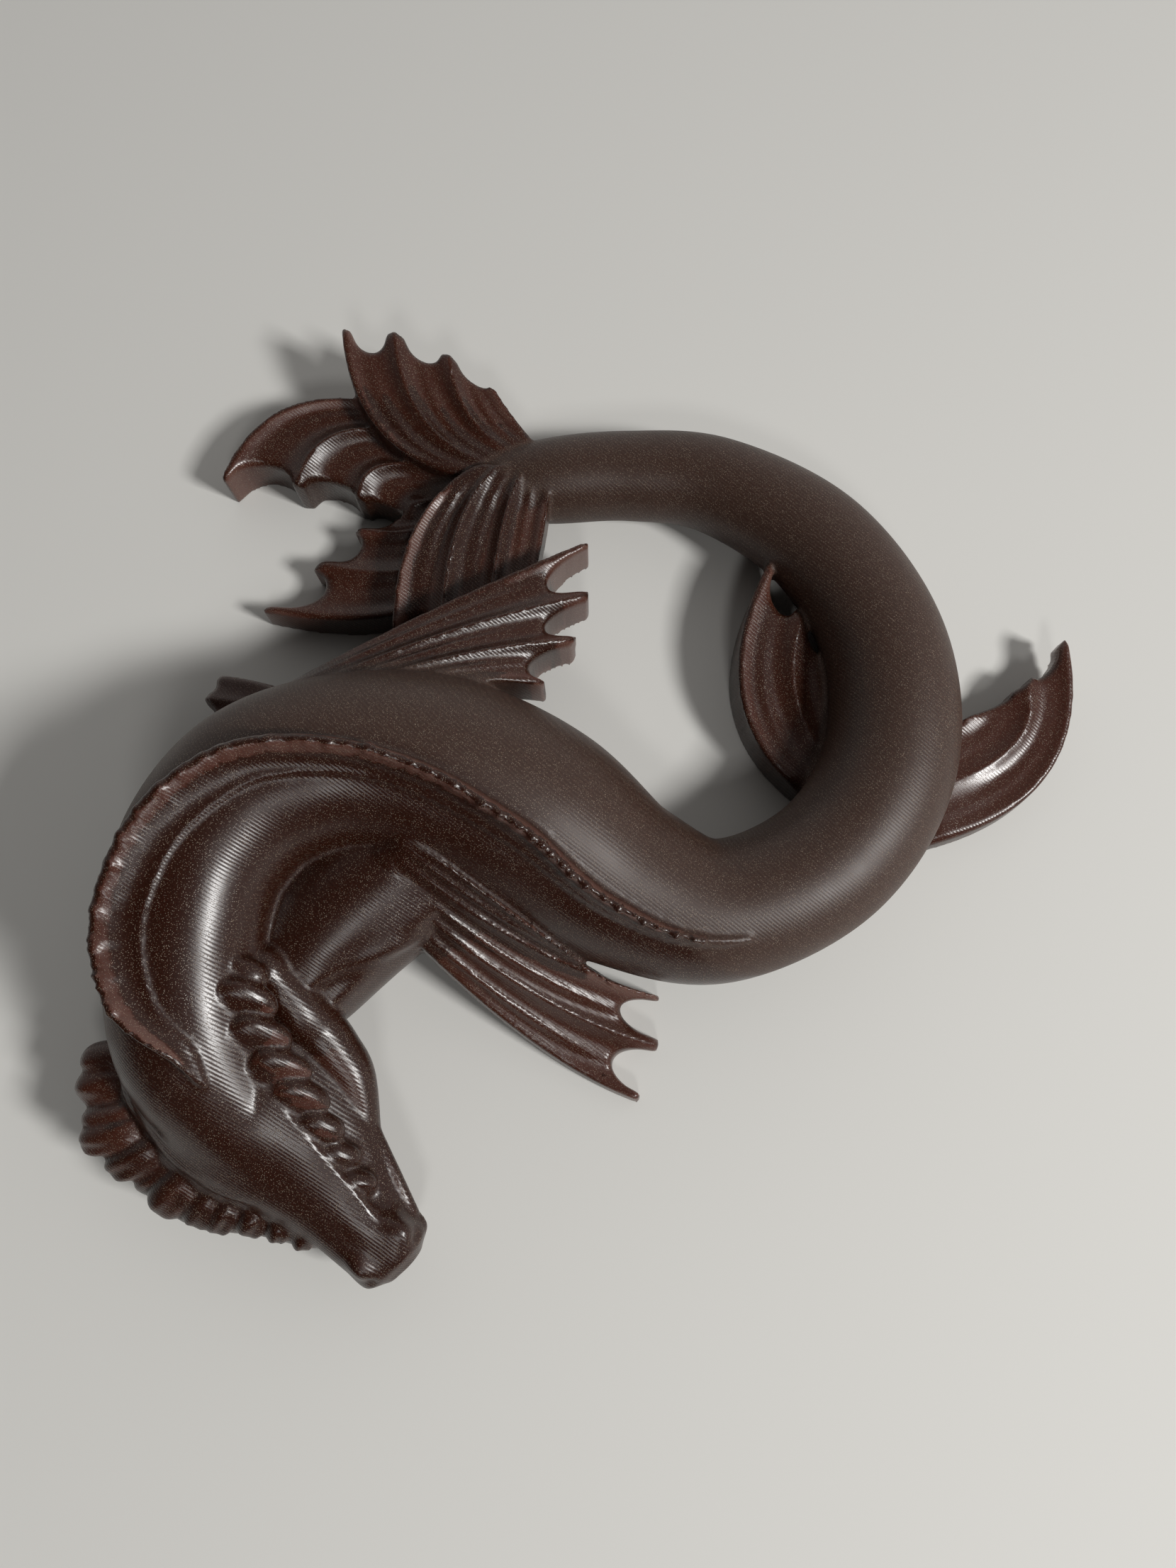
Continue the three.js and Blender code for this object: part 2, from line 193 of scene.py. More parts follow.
# Outline of the flap across its run: share of the width, height above the back as a share of the
# flap's height, and a fixed height in millimetres.
CREST_OUTLINE = [
    (-1.0, 0, -1.5), (-1.0, 0, 0.1), (-0.96, 0, 0.42), (-0.75, 0, 0.42), (-0.52, 0.14, 0.40),
    (-0.34, 0.42, 0.25), (-0.2, 0.74, 0.1), (-0.09, 0.95, 0), (0, 1, 0), (0.1, 0.95, 0),
    (0.19, 0.75, 0), (0.24, 0.4, 0), (0.3, 0, -0.3), (0.3, 0, -1.5), (0, 0, -1.5),
    (-0.5, 0, -1.5),
]
CREST_RINGS = 700
CREST_RADIUS = 8.5
FINE_WAVE, COARSE_WAVE = (0.12, 26, 7), (0.14, 9, 0)
RUFFLES_FROM, RUFFLES_TO = 1.5, 10.6
RUFFLE_PITCH = 2.3
RUFFLE_STEP = 0.05


def back_skin(at, turn):
    """Centre, outward direction, run direction and skin reach of the body's back."""
    centre, along, side, up, half_width, half_height = section(BODY, at)
    lean = math.radians(turn)
    out = side * math.sin(lean) + up * math.cos(lean)
    reach = 1 / math.hypot(math.sin(lean) / half_width, math.cos(lean) / half_height)
    return centre, out, along, reach


def waver(at):
    """Unevenness of the flap's height along its run."""
    return sum(strength * noise.noise(Vector((at * pitch, seed, 4)))
               for strength, pitch, seed in (COARSE_WAVE, FINE_WAVE))


flap = tube(len(CREST_OUTLINE), CREST_RINGS)
for v in flap.verts:
    around = (math.atan2(v.co.x, v.co.y) / math.tau) % 1
    share, rise, fixed = CREST_OUTLINE[round(around * len(CREST_OUTLINE)) % len(CREST_OUTLINE)]
    at = round((v.co.z + 0.5) * (len(CREST) - 1), 6)
    station, turn, height, width = smooth_row(CREST, at)
    spread = math.degrees(share * width / CREST_RADIUS)
    centre, out, along, reach = back_skin(station, turn + spread)
    v.co = centre + out * (reach + rise * height * (1 + waver(at)) + fixed)
cast(flap)

# Its ruffles: lumps of uneven size and spacing, tipped inward, strung along the free edge.
random.seed(4)
ruffle_at = RUFFLES_FROM
while ruffle_at < RUFFLES_TO:
    station, turn, height, width = smooth_row(CREST, ruffle_at)
    centre, out, along, reach = back_skin(station, turn)
    inward = out.cross(along)
    grown = min(1, (ruffle_at - RUFFLES_FROM + 0.4) / 0.8)
    size = random.uniform(0.6, 1.2) * grown
    part = bmesh.new()
    bmesh.ops.create_icosphere(part, subdivisions=3, radius=1)
    slope = random.uniform(0.75, 1.0)
    long_way = (inward * math.cos(slope) - out * math.sin(slope)
                + along * random.uniform(-0.3, 0.3)).normalized()
    across = along.cross(long_way)
    place = (centre + out * (reach + height * 0.84) + inward * width * random.uniform(-0.02, 0.09)
             + along * random.uniform(-0.3, 0.3))
    for v in part.verts:
        v.co = (place + along * v.co.x * (0.24 + 0.16 * height) * size
                + long_way * v.co.y * (0.3 + 0.16 * height) + across * v.co.z * 0.62 * size)
    cast(part)
    step = RUFFLE_PITCH * random.uniform(0.65, 1.35) * (0.3 + 0.25 * height)
    here, ahead = (Vector(smooth_row(BODY, smooth_row(CREST, ruffle_at + d)[0])[:3])
                   for d in (0, RUFFLE_STEP))
    ruffle_at += RUFFLE_STEP * step / max((ahead - here).length, RUFFLE_STEP)

# Head: a long wedge, rolled a little towards the outside of the bend, with its jaw on the
# surface. Brow ridges, hollows, lip line and nostrils are modelled into it.
HEAD_BACK = Vector((-41.4, -29.6, 11.6))
HEAD_TIP = Vector((-18.9, -52.2, 6.2))
HEAD_ROLL = math.radians(20)
# Share of the head's length, then its reach at the crown, brow, temple, cheek, jaw and throat;
# SKULL_TURNS says where round the head, in degrees from the crown, each reach is taken.
SKULL = [
    (0.00, 3.0, 3.2, 3.6, 4.6, 5.0, 4.0), (0.10, 6.0, 7.4, 7.2, 9.2, 8.8, 8.0),
    (0.28, 6.6, 8.0, 7.2, 10.2, 9.6, 8.6), (0.48, 5.6, 6.9, 6.2, 9.2, 8.8, 7.8),
    (0.68, 4.6, 5.3, 4.9, 7.0, 7.2, 6.6), (0.86, 3.7, 4.3, 4.4, 4.8, 5.3, 5.4),
    (0.96, 3.2, 3.9, 4.2, 4.3, 4.6, 4.6), (1.00, 1.6, 2.0, 2.2, 2.4, 2.6, 2.4),
]
SKULL_TURNS = (0, 44, 72, 104, 140, 180)
SKULL_SIDES = 120
SKULL_RINGS = 150
head_length = (HEAD_TIP - HEAD_BACK).length
head_along = (HEAD_TIP - HEAD_BACK).normalized()
level_side = head_along.cross(UP).normalized()
head_side = (level_side * math.cos(HEAD_ROLL)
             + head_along.cross(level_side) * math.sin(HEAD_ROLL))
head_up = head_side.cross(head_along)
# Places of the features: turn from the crown in degrees, and share of the head's length
BROW_TURN, EYE_TURN, TEMPLE_TURN, LIP_TURN, MOUTH_TURN = 50, 64, 42, 108, 117
TEMPLE_SHARE, MUZZLE_SHARE, NOSTRIL_SHARE = 0.62, 0.89, 0.945
MUZZLE_RIDGE_TURN = -22


def face_relief(share, turn):
    """Height of the modelled features over the plain skull, in millimetres."""
    wide = abs(turn)
    brows = min(1, max(0, (share - 0.04) / 0.1), max(0, (0.84 - share) / 0.12))
    lips = min(1, max(0, (share - 0.1) / 0.08), max(0, (1.0 - share) / 0.06))
    if turn < 0:
        rise = brows * (0.55 * hump(wide, BROW_TURN, 6) - 0.9 * hump(wide, EYE_TURN, 8))
    else:
        rise = -0.5 * hump(turn, TEMPLE_TURN, 15) * hump(share, TEMPLE_SHARE, 0.13)
    rise += lips * (0.35 * hump(wide, LIP_TURN, 5) - 0.4 * hump(wide, MOUTH_TURN, 4))
    from_ridge = abs(turn - MUZZLE_RIDGE_TURN)
    rise += hump(share, MUZZLE_SHARE, 0.055) * hump(from_ridge, 38, 17)
    rise -= 0.5 * hump(share, NOSTRIL_SHARE, 0.018) * hump(from_ridge, 48, 9)
    return rise


def skull_point(share, turn):
    reaches = smooth_table(SKULL, share)
    reach = smooth_table(list(zip(SKULL_TURNS, reaches)), abs(turn))[0] + face_relief(share, turn)
    lean = math.radians(turn)
    return (HEAD_BACK + head_along * share * head_length
            + head_side * math.sin(lean) * reach + head_up * math.cos(lean) * reach)


skull = tube(SKULL_SIDES, SKULL_RINGS)
for v in skull.verts:
    v.co = skull_point(v.co.z + 0.5, math.degrees(math.atan2(v.co.x, v.co.y)))
cast(skull)

# Head ridges: the plate that widens the crown, the roll that edges it over the outer frill, the
# fold along the lips, the full cheek behind it, and the skirt and bed that carry the outer frill.
# Columns as for the body.
CROWN_EDGE = [
    (-46.9, -28.2, 13.0, 0.8, 0.8), (-47.0, -31.4, 12.4, 0.9, 0.9), (-45.7, -35.4, 12.0, 1.0, 1.0),
    (-43.0, -38.4, 11.8, 1.0, 1.0), (-38.8, -42.3, 11.6, 1.0, 1.0), (-35.5, -43.9, 11.7, 1.0, 1.0),
    (-31.2, -44.9, 11.9, 0.9, 0.9), (-27.5, -46.8, 11.0, 0.8, 0.8), (-26.1, -49.0, 9.8, 0.6, 0.6),
]
LIP_FOLD = [
    (-26.6, -29.0, 10.6, 0.5, 0.8), (-26.0, -30.6, 10.0, 0.7, 1.0), (-24.6, -33.4, 9.2, 0.7, 1.0),
    (-22.2, -38.4, 8.6, 0.7, 0.8), (-19.8, -43.2, 8.0, 0.7, 0.8), (-18.0, -47.0, 7.2, 0.7, 0.7),
]
CHEEK = [
    (-33.9, -21.0, 16.4, 1.3, 1.8), (-32.4, -21.9, 15.4, 2.0, 2.4), (-31.5, -23.6, 14.4, 2.4, 2.6),
    (-29.4, -26.4, 12.9, 2.8, 2.7), (-27.9, -28.2, 11.4, 2.9, 2.7), (-26.2, -30.5, 10.4, 2.8, 2.6),
    (-24.4, -33.3, 9.4, 2.4, 2.4), (-22.9, -39.0, 7.9, 1.4, 1.6),
]
CROWN_PLATE = [
    (-43.6, -24.6, 14.0, 3.0, 2.4), (-42.8, -30.6, 13.0, 4.4, 2.9), (-40.8, -35.2, 12.4, 4.6, 2.9),
    (-37.6, -38.8, 11.9, 4.6, 2.8), (-34.0, -41.6, 11.6, 3.2, 2.4), (-30.4, -43.9, 11.0, 2.0, 1.8),
]
SKIRT = [
    (-45.6, -36.0, 7.0, 0.6, 1.0), (-46.0, -40.0, 6.0, 2.0, 3.0), (-44.0, -43.6, 5.2, 2.4, 3.4),
    (-40.6, -45.8, 5.2, 2.6, 3.8), (-37.2, -46.5, 5.2, 2.5, 3.8), (-34.2, -47.0, 5.0, 2.3, 3.8),
    (-31.2, -47.9, 4.8, 2.1, 3.7), (-28.2, -48.9, 4.4, 1.8, 3.2), (-25.4, -49.4, 3.6, 0.8, 1.4),
]
FRILL_BED = [
    (-45.6, -27.6, 10.4, 1.0, 1.2), (-46.4, -30.6, 9.4, 2.2, 2.8), (-45.8, -34.4, 9.0, 2.6, 3.2),
    (-43.8, -37.8, 8.8, 2.6, 3.2), (-40.6, -41.0, 8.8, 2.6, 3.2), (-37.2, -43.2, 8.8, 2.4, 3.0),
    (-33.6, -44.4, 8.8, 2.2, 2.8), (-30.4, -45.8, 8.6, 1.8, 2.4), (-27.4, -47.4, 8.0, 0.8, 1.2),
]
for stations, sides, rings in ((CROWN_PLATE, 48, 100), (CROWN_EDGE, 24, 120), (LIP_FOLD, 24, 140),
                               (CHEEK, 48, 100), (SKIRT, 32, 100), (FRILL_BED, 32, 100)):
    limb(stations, sides, rings, plain)

# Frill: overlapping scales down each side of the head, largest at the back. Each is a blunt
# pleated plate, leaning so that one of its edges stands up over its neighbour.
# Each scale: middle of its root, middle of its free edge, half width.
OUTER_FRILL = [
    ((-47.6, -31.2, 10.6), (-52.0, -31.8, 9.2), 2.2),
    ((-47.4, -33.6, 10.4), (-52.6, -34.4, 8.6), 2.2),
    ((-46.6, -36.4, 10.4), (-51.8, -37.4, 8.8), 1.5),
    ((-45.9, -38.2, 10.6), (-51.8, -39.6, 8.8), 1.9),
    ((-43.6, -40.0, 10.3), (-48.9, -42.2, 8.4), 2.0),
    ((-41.2, -41.4, 9.6), (-46.2, -44.0, 7.4), 1.7),
    ((-40.0, -43.0, 10.0), (-43.9, -46.2, 7.8), 2.5),
    ((-37.9, -44.4, 9.6), (-40.4, -47.4, 7.6), 1.8),
    ((-36.2, -45.4, 9.4), (-38.2, -48.0, 7.4), 1.6),
    ((-33.6, -46.0, 9.2), (-34.8, -48.2, 7.6), 1.7),
    ((-31.0, -46.8, 9.0), (-32.0, -48.8, 7.6), 1.4),
    ((-28.7, -47.8, 8.8), (-29.5, -49.5, 7.4), 1.2),
]
INNER_FRILL = [
    ((-35.6, -22.2, 19.6), (-31.9, -23.6, 18.4), 1.8),
    ((-35.9, -24.8, 20.4), (-31.2, -26.7, 17.7), 2.5),
    ((-34.4, -28.2, 19.4), (-29.9, -30.1, 16.4), 2.4),
    ((-32.4, -31.2, 18.1), (-28.1, -33.0, 15.2), 2.2),
    ((-30.4, -34.0, 16.7), (-26.5, -35.9, 13.9), 2.1),
    ((-28.3, -37.2, 15.0), (-25.0, -38.7, 12.8), 1.9),
    ((-26.3, -40.1, 13.2), (-23.5, -41.2, 11.4), 1.6),
    ((-24.2, -42.9, 11.8), (-21.9, -43.6, 10.5), 1.3),
]
SCALE_LEAN = math.radians(32)
SCALE_BLUNTNESS = 0.8
SCALE_OVERLAP = 0.5
PLEATS = 6
OUTER_THICKNESS, INNER_THICKNESS = 1.7, 1.25


def scale(root, tip, half_width, hand, thick):
    """One pleated plate from its root to its free edge; hand is the side of the head it is on."""
    root, tip = Vector(root), Vector(tip)
    out = (tip - root).normalized()
    across = out.cross(UP).normalized() * hand
    lift = (across.cross(out) * hand).normalized()
    wide = across * math.cos(SCALE_LEAN) + lift * math.sin(SCALE_LEAN)
    high = lift * math.cos(SCALE_LEAN) - across * math.sin(SCALE_LEAN)
    part = bmesh.new()
    bmesh.ops.create_uvsphere(part, u_segments=48, v_segments=28, radius=1)
    middle, half_length = (root + tip) / 2, (tip - root).length / 2 + SCALE_OVERLAP
    for v in part.verts:
        x, y, z = (math.copysign(abs(c) ** SCALE_BLUNTNESS, c) for c in v.co)
        pleat = 1 + 0.16 * noise.noise(Vector((x * 2.2, y * 0.8, 3 * root.x)))
        pleat -= 0.10 * math.cos(x * PLEATS) * (0.5 + 0.5 * y)
        v.co = (middle + out * y * half_length * (1 - 0.03 * math.cos(x * PLEATS + root.x))
                + wide * x * half_width + high * z * thick * pleat)
    cast(part)


for root, tip, half_width in OUTER_FRILL:
    scale(root, tip, half_width, 1, OUTER_THICKNESS)
for root, tip, half_width in INNER_FRILL:
    scale(root, tip, half_width, -1, INNER_THICKNESS)

# Fins: thick webs whose upper face is ribbed by rays and whose walls run straight down towards
# the surface, as the mould leaves them. The free edge is scooped out between the rays.
# Each: ends of its root, middle control points of its first and last rays, tips of its rays,
# depth of the scoops, thickness at root and tips, outward draft of the walls, blunt share of a
# ray's tip, rise of its ribs, and strength of the second ridge in each web.
FINS = {
    "near pectoral": (
        [(-25.2, -11.6, 19.6), (-20.4, -7.6, 21.0)], [(-8.6, -30.6, 0.6), (-9.0, -16.0, 19.6)],
        [(4.9, -35.6, 3.4), (7.1, -29.8, 3.6), (7.2, -24.5, 4.6), (2.0, -23.3, 8.6)],
        0.135, (6.0, 3.4), 0.5, 0.12, 1.5, 0.85),
    "far pectoral": (
        [(-37.0, 5.4, 14.0), (-29.0, 3.4, 19.4)], [(-21.0, 15.4, 14.6), (-16.0, 8.2, 19.4)],
        [(-0.8, 25.2, 12.2), (-0.7, 18.8, 12.0), (-2.1, 13.6, 12.4), (-5.4, 8.4, 13.0)],
        0.12, (8.0, 6.4), 0.2, 0.14, 1.2, 0.7),
    "inner pelvic": (
        [(26.0, -3.6, 5.0), (33.0, 2.0, 5.0)], [(11.4, 6.2, 8.2), (30.0, 8.0, 6.0)],
        [(20.6, 24.0, 8.8), (24.4, 17.8, 7.8), (29.4, 11.6, 6.6)],
        0.08, (5.0, 8.8), 0.2, 0.16, 1.1, 0.5),
    "outer pelvic": (
        [(34.6, -8.6, 3.2), (36.0, 3.6, 5.0)], [(58.8, -4.6, 3.6), (47.0, 8.4, 4.4)],
        [(55.6, 15.4, 6.2), (50.6, 10.4, 5.4), (43.0, 6.6, 4.8)],
        0.045, (3.6, 3.2), 0.3, 0.2, 0.9, 0.3),
    "tail fin upper fork": (
        [(-9.0, 39.0, 6.4), (-14.0, 32.6, 6.0)], [(-36.0, 54.0, 8.8), (-22.0, 34.0, 7.0)],
        [(-43.4, 36.4, 6.8), (-34.2, 35.2, 7.0), (-27.0, 33.6, 6.6), (-20.5, 30.6, 6.0)],
        0.09, (6.0, 7.0), 0.0, 0.1, 1.6, 0.3),
    "tail fin lower fork": (
        [(-14.0, 35.5, 6.0), (-9.0, 31.5, 6.4)], [(-22.0, 33.5, 6.4), (-14.5, 14.5, 6.4)],
        [(-21.5, 31.4, 6.0), (-26.9, 29.8, 5.8), (-31.2, 25.4, 5.6), (-37.5, 19.6, 5.2)],
        0.10, (6.0, 5.4), 0.1, 0.12, 0.9, 0.3),
    "upper side fan": (
        [(-12.0, 34.6, 8.6), (-5.6, 38.6, 8.6)], [(-27.5, 36.5, 9.0), (-9.5, 43.0, 9.6)],
        [(-28.9, 51.8, 12.0), (-22.6, 51.2, 12.2), (-16.2, 48.8, 11.6), (-10.8, 45.2, 10.4)],
        0.075, (4.2, 3.4), 0.1, 0.18, 1.4, 0.5),
    "lower side fan": (
        [(-11.0, 37.4, 9.2), (-4.4, 37.0, 9.6)], [(-22.0, 31.5, 11.6), (-4.0, 32.0, 9.6)],
        [(-22.2, 16.6, 9.2), (-16.4, 17.0, 9.6), (-11.0, 18.0, 9.6), (-6.6, 20.0, 9.2)],
        0.05, (4.4, 3.6), 0.1, 0.1, 1.7, 0.45),
    "hidden ventral tab": (
        [(-33.0, 3.0, 10.0), (-33.0, 8.6, 10.0)], [(-38.0, 4.8, 8.6), (-38.0, 10.6, 8.6)],
        [(-41.8, 5.6, 7.4), (-43.4, 8.4, 7.2), (-42.0, 11.4, 7.0)],
        0.04, (5.0, 4.6), 0.1, 0.3, 0.4, 0.2),
}
COLUMNS_PER_WEB = 26
ROWS_ALONG_RAY = 90
RAY_OVERSHOOT = 1.02
RAY_SHARPNESS = 1.9
SECOND_PLACE, SECOND_WIDTH = 0.47, 0.13
RIB_FROM, RIB_FADE = 0.15, 2.6
ROOT_SHARE, ROOT_DROP = 0.14, 3.2
EDGE_WIDTH, EDGE_DROP = 0.9, 0.55


def along_ray(ray, v):
    """A place on a ray, which bends once between its root and its tip."""
    root, bend, tip = ray
    return root * (1 - v) ** 2 + bend * 2 * v * (1 - v) + tip * v * v


def fin(root, bend, tips, scoop, thick, draft, blunt, rib, second):
    """One fin, bent from a grid that has its columns along the rays, and its underside below."""
    webs = len(tips) - 1
    root, bend = [Vector(p) for p in root], [Vector(p) for p in bend]
    rays = [(root[0].lerp(root[1], i / webs), bend[0].lerp(bend[1], i / webs), Vector(tip))
            for i, tip in enumerate(tips)]
    part = bmesh.new()
    bmesh.ops.create_grid(part, x_segments=webs * COLUMNS_PER_WEB, y_segments=ROWS_ALONG_RAY,
                          size=0.5)
    made = bmesh.ops.extrude_face_region(part, geom=part.faces[:])
    under = {g for g in made["geom"] if isinstance(g, bmesh.types.BMVert)}
    for v in part.verts:
        u = (v.co.x + 0.5) * webs
        ray = min(int(u + 1e-6), webs - 1)
        f = u - ray
        nearest = min(f, 1 - f)
        hollow = min(max((nearest - blunt) / (0.5 - blunt), 0), 1)
        reach = (v.co.y + 0.5) * (RAY_OVERSHOOT - scoop * math.sqrt(1 - (1 - hollow) ** 2))
        low, high = along_ray(rays[ray], reach), along_ray(rays[ray + 1], reach)
        place = low.lerp(high, f)
        crown = (abs(2 * f - 1) ** RAY_SHARPNESS
                 + second * hump(f, SECOND_PLACE, SECOND_WIDTH) * (1 - reach ** 3))
        fade = min(1, max(0, RIB_FADE * reach - RIB_FROM))
        root_round = max(0, 1 - (v.co.y + 0.5) / ROOT_SHARE)
        place.z -= rib * fade * (1 - crown) + ROOT_DROP * root_round * root_round
        from_side = min(u, webs - u) * (high - low).length
        from_tip = (1 - (v.co.y + 0.5)) * (rays[ray][2] - rays[ray][0]).length
        for gap in (from_side, from_tip):
            near = max(0, 1 - gap / EDGE_WIDTH)
            place.z -= EDGE_DROP * near * near
        if v in under:
            middle = along_ray(rays[0], reach).lerp(along_ray(rays[webs], reach), 0.5)
            outward = (place - middle) * Vector((1, 1, 0))
            if outward.length > 1e-6:
                place += outward.normalized() * draft * abs(u / webs - 0.5) * 2
            place.z -= thick[0] + (thick[1] - thick[0]) * reach
        v.co = place
    cast(part)


for measures in FINS.values():
    fin(*measures)

# Casting: the parts above are run together into one skin, as the print or casting has them, with
# the joins and edges softened and the underside left flat.
VOXEL = 0.27
FLAT_BELOW = 0.12
MOST_TRIANGLES = 190000


def to_metres(x, y, z):
    """A place in the drawing, in millimetres, as one in the frame."""
    return (x - DRAWING_MIDDLE[0]) / 1000, (y - DRAWING_MIDDLE[1]) / 1000, z / 1000


mesh = bpy.data.meshes.new("sea_dragon_rough")
figure.to_mesh(mesh)
figure.free()
rough = bpy.data.objects.new("sea_dragon_rough", mesh)
bpy.context.scene.collection.objects.link(rough)
remesh = rough.modifiers.new("one skin", "REMESH")
remesh.mode = "VOXEL"
remesh.voxel_size = VOXEL
soften = rough.modifiers.new("soften", "SMOOTH")
soften.factor = 0.5
soften.iterations = 3
bpy.context.view_layer.update()
skin = rough.evaluated_get(bpy.context.evaluated_depsgraph_get())
quads = len(skin.data.polygons)
thin = rough.modifiers.new("thin out", "DECIMATE")
thin.ratio = min(1, MOST_TRIANGLES / (2 * quads))
graph = bpy.context.evaluated_depsgraph_get()
skin_mesh = bpy.data.meshes.new_from_object(rough.evaluated_get(graph), depsgraph=graph)
bpy.data.objects.remove(rough)
bpy.data.meshes.remove(mesh)
for v in skin_mesh.vertices:
    v.co = to_metres(v.co.x, v.co.y, 0 if v.co.z < FLAT_BELOW else v.co.z)
skin_mesh.name = "sea_dragon_casting"

# Crown: the neck, the skull and the crown's plate are blended into one smooth surface, more so
# towards its middle line.
CROWN_LINE = [(-38.0, -38.0), (-35.6, -39.2), (-33.0, -40.8), (-30.6, -43.0), (-28.0, -45.4)]
SAMPLES_PER_SPAN = 10
BLEND_RADII = (4.4, 3.7, 3.0)
BLEND_ROUNDS = 16
# The head's corner, in metres: its least height, and its limits to the right and to the tail.
HEAD_CORNER = (0.009, -0.02, -0.022)
crown_samples = (len(CROWN_LINE) - 1) * SAMPLES_PER_SPAN + 1
crown_points = kdtree.KDTree(crown_samples)
for i in range(crown_samples):
    crown_points.insert(to_metres(*smooth_row(CROWN_LINE, i / SAMPLES_PER_SPAN), 0), i)
crown_points.balance()


def off_crown(v):
    """Distance of a vertex from the crown's line, seen from above, in millimetres."""
    return crown_points.find((v.co.x, v.co.y, 0))[2] * 1000


part = bmesh.new()
part.from_mesh(skin_mesh)
part.normal_update()
upper = [(off_crown(v), v) for v in part.verts
         if v.co.z > HEAD_CORNER[0] and v.co.x < HEAD_CORNER[1] and v.co.y < HEAD_CORNER[2]]
for radius in BLEND_RADII:
    near = [v for away, v in upper if away < radius]
    for _ in range(BLEND_ROUNDS):
        bmesh.ops.smooth_vert(part, verts=near, factor=0.5, use_axis_x=True, use_axis_y=True,
                              use_axis_z=True)
part.to_mesh(skin_mesh)
part.free()
skin_mesh.update()
for p in skin_mesh.polygons:
    p.use_smooth = True

# Thickness of the resin behind each point, in millimetres, for the colour of its thin edges, whose
# paler and redder colour is painted light: it stands in for light coming through the thin resin
# and for the floor reflected in thin walls. It is measured straight inward from just under the
# skin, over lengths given here in metres.
JUST_INSIDE = 0.0001
DEEPEST = 0.02
tree = BVHTree.FromPolygons([v.co for v in skin_mesh.vertices],
                            [p.vertices[:] for p in skin_mesh.polygons])
depth = skin_mesh.attributes.new("depth", "FLOAT", "POINT")
for v, cell in zip(skin_mesh.vertices, depth.data):
    hit = tree.ray_cast(v.co - v.normal * JUST_INSIDE, -v.normal, DEEPEST)
    cell.value = (hit[3] if hit[0] else DEEPEST) * 1000

# Hollow places, where the resin has pooled and stays dull. The blended crown has none.
HOLLOW_FROM, HOLLOW_SPAN = 0.025, 0.08
CROWN_MARGIN = 0.6
part = bmesh.new()
part.from_mesh(skin_mesh)
part.normal_update()
dips = []
for v in part.verts:
    others = [e.other_vert(v).co for e in v.link_edges]
    middle = sum(others, Vector()) / len(others)
    edge_length = sum((other - v.co).length for other in others) / len(others)
    dips.append((middle - v.co).dot(v.normal) / edge_length)
part.verts.ensure_lookup_table()
hollow_share = skin_mesh.attributes.new("hollow", "FLOAT", "POINT")
for v, cell in zip(part.verts, hollow_share.data):
    around = [dips[e.other_vert(v).index] for e in v.link_edges] + [dips[v.index]] * 2
    if off_crown(v) < BLEND_RADII[0] + CROWN_MARGIN:
        cell.value = 0
    else:
        cell.value = min(max((sum(around) / len(around) - HOLLOW_FROM) / HOLLOW_SPAN, 0), 1)
part.free()

# Share of sanding and of painted sheen: the ring and the hump's outer side are rubbed matt, from
# the crest outwards, and painted lighter there, which also stands in for the broad sheen of
# overhead light on these upper, lit sides.
# The stations that are sanded, the one below which the ring is sanded all round, the width of the
# soft edge, and the reach from the centre line as a share of the half width.
SAMPLES_PER_STATION = 20
SANDED_SHEEN_STATIONS = 17
RING_STARTS = 9.5
EDGE_DEGREES = 12
OFF_SKIN, OFF_SKIN_SPAN = 1.16, 0.08
sanded_sheen_samples = SAMPLES_PER_STATION * SANDED_SHEEN_STATIONS
line = kdtree.KDTree(sanded_sheen_samples)
body_sections = []
for i in range(sanded_sheen_samples):
    at = i / SAMPLES_PER_STATION
    crest_row = min(range(len(CREST) * 10),
                    key=lambda k: abs(smooth_row(CREST, k / 10)[0] - at))
    crest_turn = smooth_row(CREST, crest_row / 10)[1]
    centre, along, side, up, half_width, half_height = section(BODY, at)
    starts = crest_turn - 90 * max(0, RING_STARTS - at)
    body_sections.append((centre, side, up, half_width, starts))
    line.insert((centre.x, centre.y, centre.z), i)
line.balance()
sanded_sheen = skin_mesh.attributes.new("sanded_sheen", "FLOAT", "POINT")
for v, cell in zip(skin_mesh.vertices, sanded_sheen.data):
    drawn = Vector((v.co.x * 1000 + DRAWING_MIDDLE[0], v.co.y * 1000 + DRAWING_MIDDLE[1],
                    v.co.z * 1000))
    _, i, away = line.find(drawn)
    centre, side, up, half_width, starts = body_sections[i]
    turn = math.degrees(math.atan2((drawn - centre).dot(side), (drawn - centre).dot(up)))
    past = min(max((turn - starts) / EDGE_DEGREES, 0), 1)
    cell.value = past * min(max((OFF_SKIN - away / half_width) / OFF_SKIN_SPAN, 0), 1)

# Resin: dark brown and translucent, with paler, redder painted light where it is thin, standing in
# for light coming through the resin and for the floor reflected in thin walls; rubbed lighter
# where it is sanded, a colour that also paints the broad sheen of overhead light on those lit
# sides; with fine pale grit and the faint ridges that the print's layers leave.
# Its tones, by thickness as a share of TONE_DEPTH millimetres, the pale thin ones painted light:
TONE_DEPTH = 12
TONES = {
    0.07: (0.115, 0.055, 0.042, 1), 0.19: (0.066, 0.022, 0.015, 1),
    0.3: (0.050, 0.0135, 0.0070, 1), 0.75: (0.024, 0.0058, 0.0024, 1),
}
